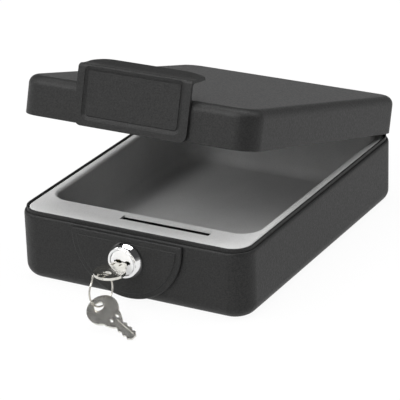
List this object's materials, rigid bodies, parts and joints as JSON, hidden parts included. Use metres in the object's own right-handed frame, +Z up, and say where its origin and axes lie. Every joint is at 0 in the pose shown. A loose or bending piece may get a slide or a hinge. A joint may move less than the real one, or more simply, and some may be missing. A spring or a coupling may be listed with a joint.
{
  "type": "portable car safe",
  "caption": "Shallow rounded steel box with a rear-hinged lid, a recessed pull plate, a half-round lock boss with a key lock and hooked cam, a foam tray, and keys on a wire ring.",
  "frame": {"origin": "centre of the flat underside of the base, on the plane that the safe stands on", "axes": "+Z up, -Y out of the front with the lock, +X to the right when the lock is faced"},
  "size_m": [0.152, 0.2573, 0.1344],
  "materials": {
    "black_coat": "fine-textured matt black powder coat",
    "foam": "soft pale grey foam with a rolled edge",
    "dark_foam": "soft charcoal foam",
    "chrome": "polished chrome plate",
    "zinc": "zinc-plated steel",
    "nickel": "worn nickel-plated steel",
    "brass": "plain stamped brass"
  },
  "bodies": {
    "base": {"base_shell": "black_coat", "inner_rim": "black_coat", "lock_boss": "black_coat", "foam_tray": "foam", "hinge_leaf_base": "black_coat", "hinge_pin": "zinc", "lock_housing": "chrome", "lock_washer": "zinc", "lock_nut": "zinc", "base_rivet_1": "black_coat", "base_rivet_2": "black_coat", "base_rivet_3": "black_coat", "base_rivet_4": "black_coat"},
    "lid": {"lid_shell": "black_coat", "lid_pad": "dark_foam", "pull_plate": "black_coat", "keeper_bracket": "zinc", "hinge_leaf_lid": "black_coat", "lid_rivet_1": "black_coat", "lid_rivet_2": "black_coat", "lid_rivet_3": "black_coat", "lid_rivet_4": "black_coat", "plate_washer_1": "zinc", "plate_washer_2": "zinc", "plate_nut_1": "zinc", "plate_nut_2": "zinc"},
    "plug": {"lock_plug": "chrome", "wafer_1": "brass", "wafer_2": "brass", "wafer_3": "brass", "wafer_4": "brass", "cam": "zinc", "cam_washer": "zinc", "cam_screw": "zinc"},
    "key": {"key_in_lock": "nickel"},
    "ring": {"key_ring": "nickel"},
    "spare": {"spare_key": "nickel"}
  },
  "joints": [
    {"name": "lid_hinge", "type": "hinge", "parent": "base", "child": "lid", "pos_m": [0, 0.105, 0.04175], "axis": [-1, 0, 0], "range_deg": [-16.55, 90]},
    {"name": "lock_turn", "type": "hinge", "parent": "base", "child": "plug", "pos_m": [0, -0.1, 0.0264], "axis": [0, -1, 0], "range_deg": [0, 90]},
    {"name": "key_slide", "type": "slide", "parent": "plug", "child": "key", "axis": [0, -1, 0], "range_m": [0, 0.022]},
    {"name": "ring_swing", "type": "hinge", "parent": "key", "child": "ring", "pos_m": [0, -0.1308, 0.0264], "axis": [1, 0, 0], "range_deg": [-15, 10]},
    {"name": "spare_key_swing", "type": "hinge", "parent": "ring", "child": "spare", "pos_m": [-0.00043, -0.1374, 0.01115], "axis": [-0.2173, -0.8566, 0.468], "range_deg": [-10, 10]}
  ]
}
